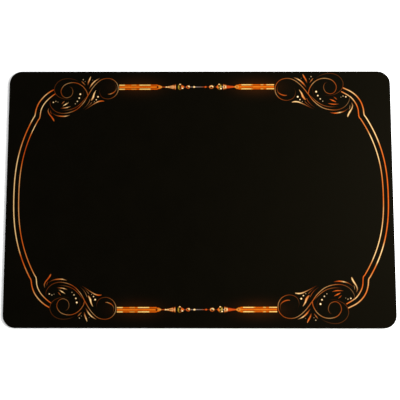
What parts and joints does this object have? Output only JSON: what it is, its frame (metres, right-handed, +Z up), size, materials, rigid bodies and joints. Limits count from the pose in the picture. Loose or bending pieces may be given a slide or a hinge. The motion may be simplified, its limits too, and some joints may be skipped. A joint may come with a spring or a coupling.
{
  "type": "close-up magic mat",
  "caption": "Flat rounded sponge mat with a black suede face, for close-up card and coin magic. A copper scroll border is dyed into the face; the underside is non-slip rubber.",
  "frame": {"origin": "centre of the underside, on the surface the mat lies on", "axes": "+X along the long side, +Y towards the back long edge, +Z up through the suede face"},
  "size_m": [0.6, 0.4, 0.0045],
  "materials": {
    "suede_black": "short brushed micro-suede nap, warm black, fully matt",
    "bonding_film": "thin hot-melt film, satin, seen only as a hairline at the cut edge",
    "foam_core": "fine-celled black sponge rubber with a die-cut edge",
    "base_rubber": "matt non-slip skin, embossed all over with a fine diamond texture",
    "dye_copper": "dye in the nap, streaked from rust through copper to pale gold",
    "dye_pale_gold": "dye in the nap, pale gold shading to orange",
    "dye_orange": "dye in the nap, glowing orange stripes with pale gold dashes"
  },
  "bodies": {
    "root": {"face_cloth": "suede_black", "bonding_film": "bonding_film", "foam_core": "foam_core", "base_skin": "base_rubber", "outer_line_left": "dye_copper", "inner_line_left": "dye_copper", "outer_line_right": "dye_copper", "inner_line_right": "dye_copper", "scroll_back_left": "dye_copper", "scroll_back_right": "dye_copper", "scroll_front_left": "dye_copper", "scroll_front_right": "dye_copper", "leaves_back_left": "dye_pale_gold", "leaves_back_right": "dye_pale_gold", "leaves_front_left": "dye_pale_gold", "leaves_front_right": "dye_pale_gold", "pearls_back_left": "dye_pale_gold", "pearls_back_right": "dye_pale_gold", "pearls_front_left": "dye_pale_gold", "pearls_front_right": "dye_pale_gold", "bar_back_left": "dye_orange", "bar_back_right": "dye_orange", "bar_front_left": "dye_orange", "bar_front_right": "dye_orange", "rod_back": "dye_copper", "rod_front": "dye_copper", "beads_back": "dye_pale_gold", "beads_front": "dye_pale_gold", "finials_back": "dye_pale_gold", "finials_front": "dye_pale_gold"}
  },
  "joints": []
}
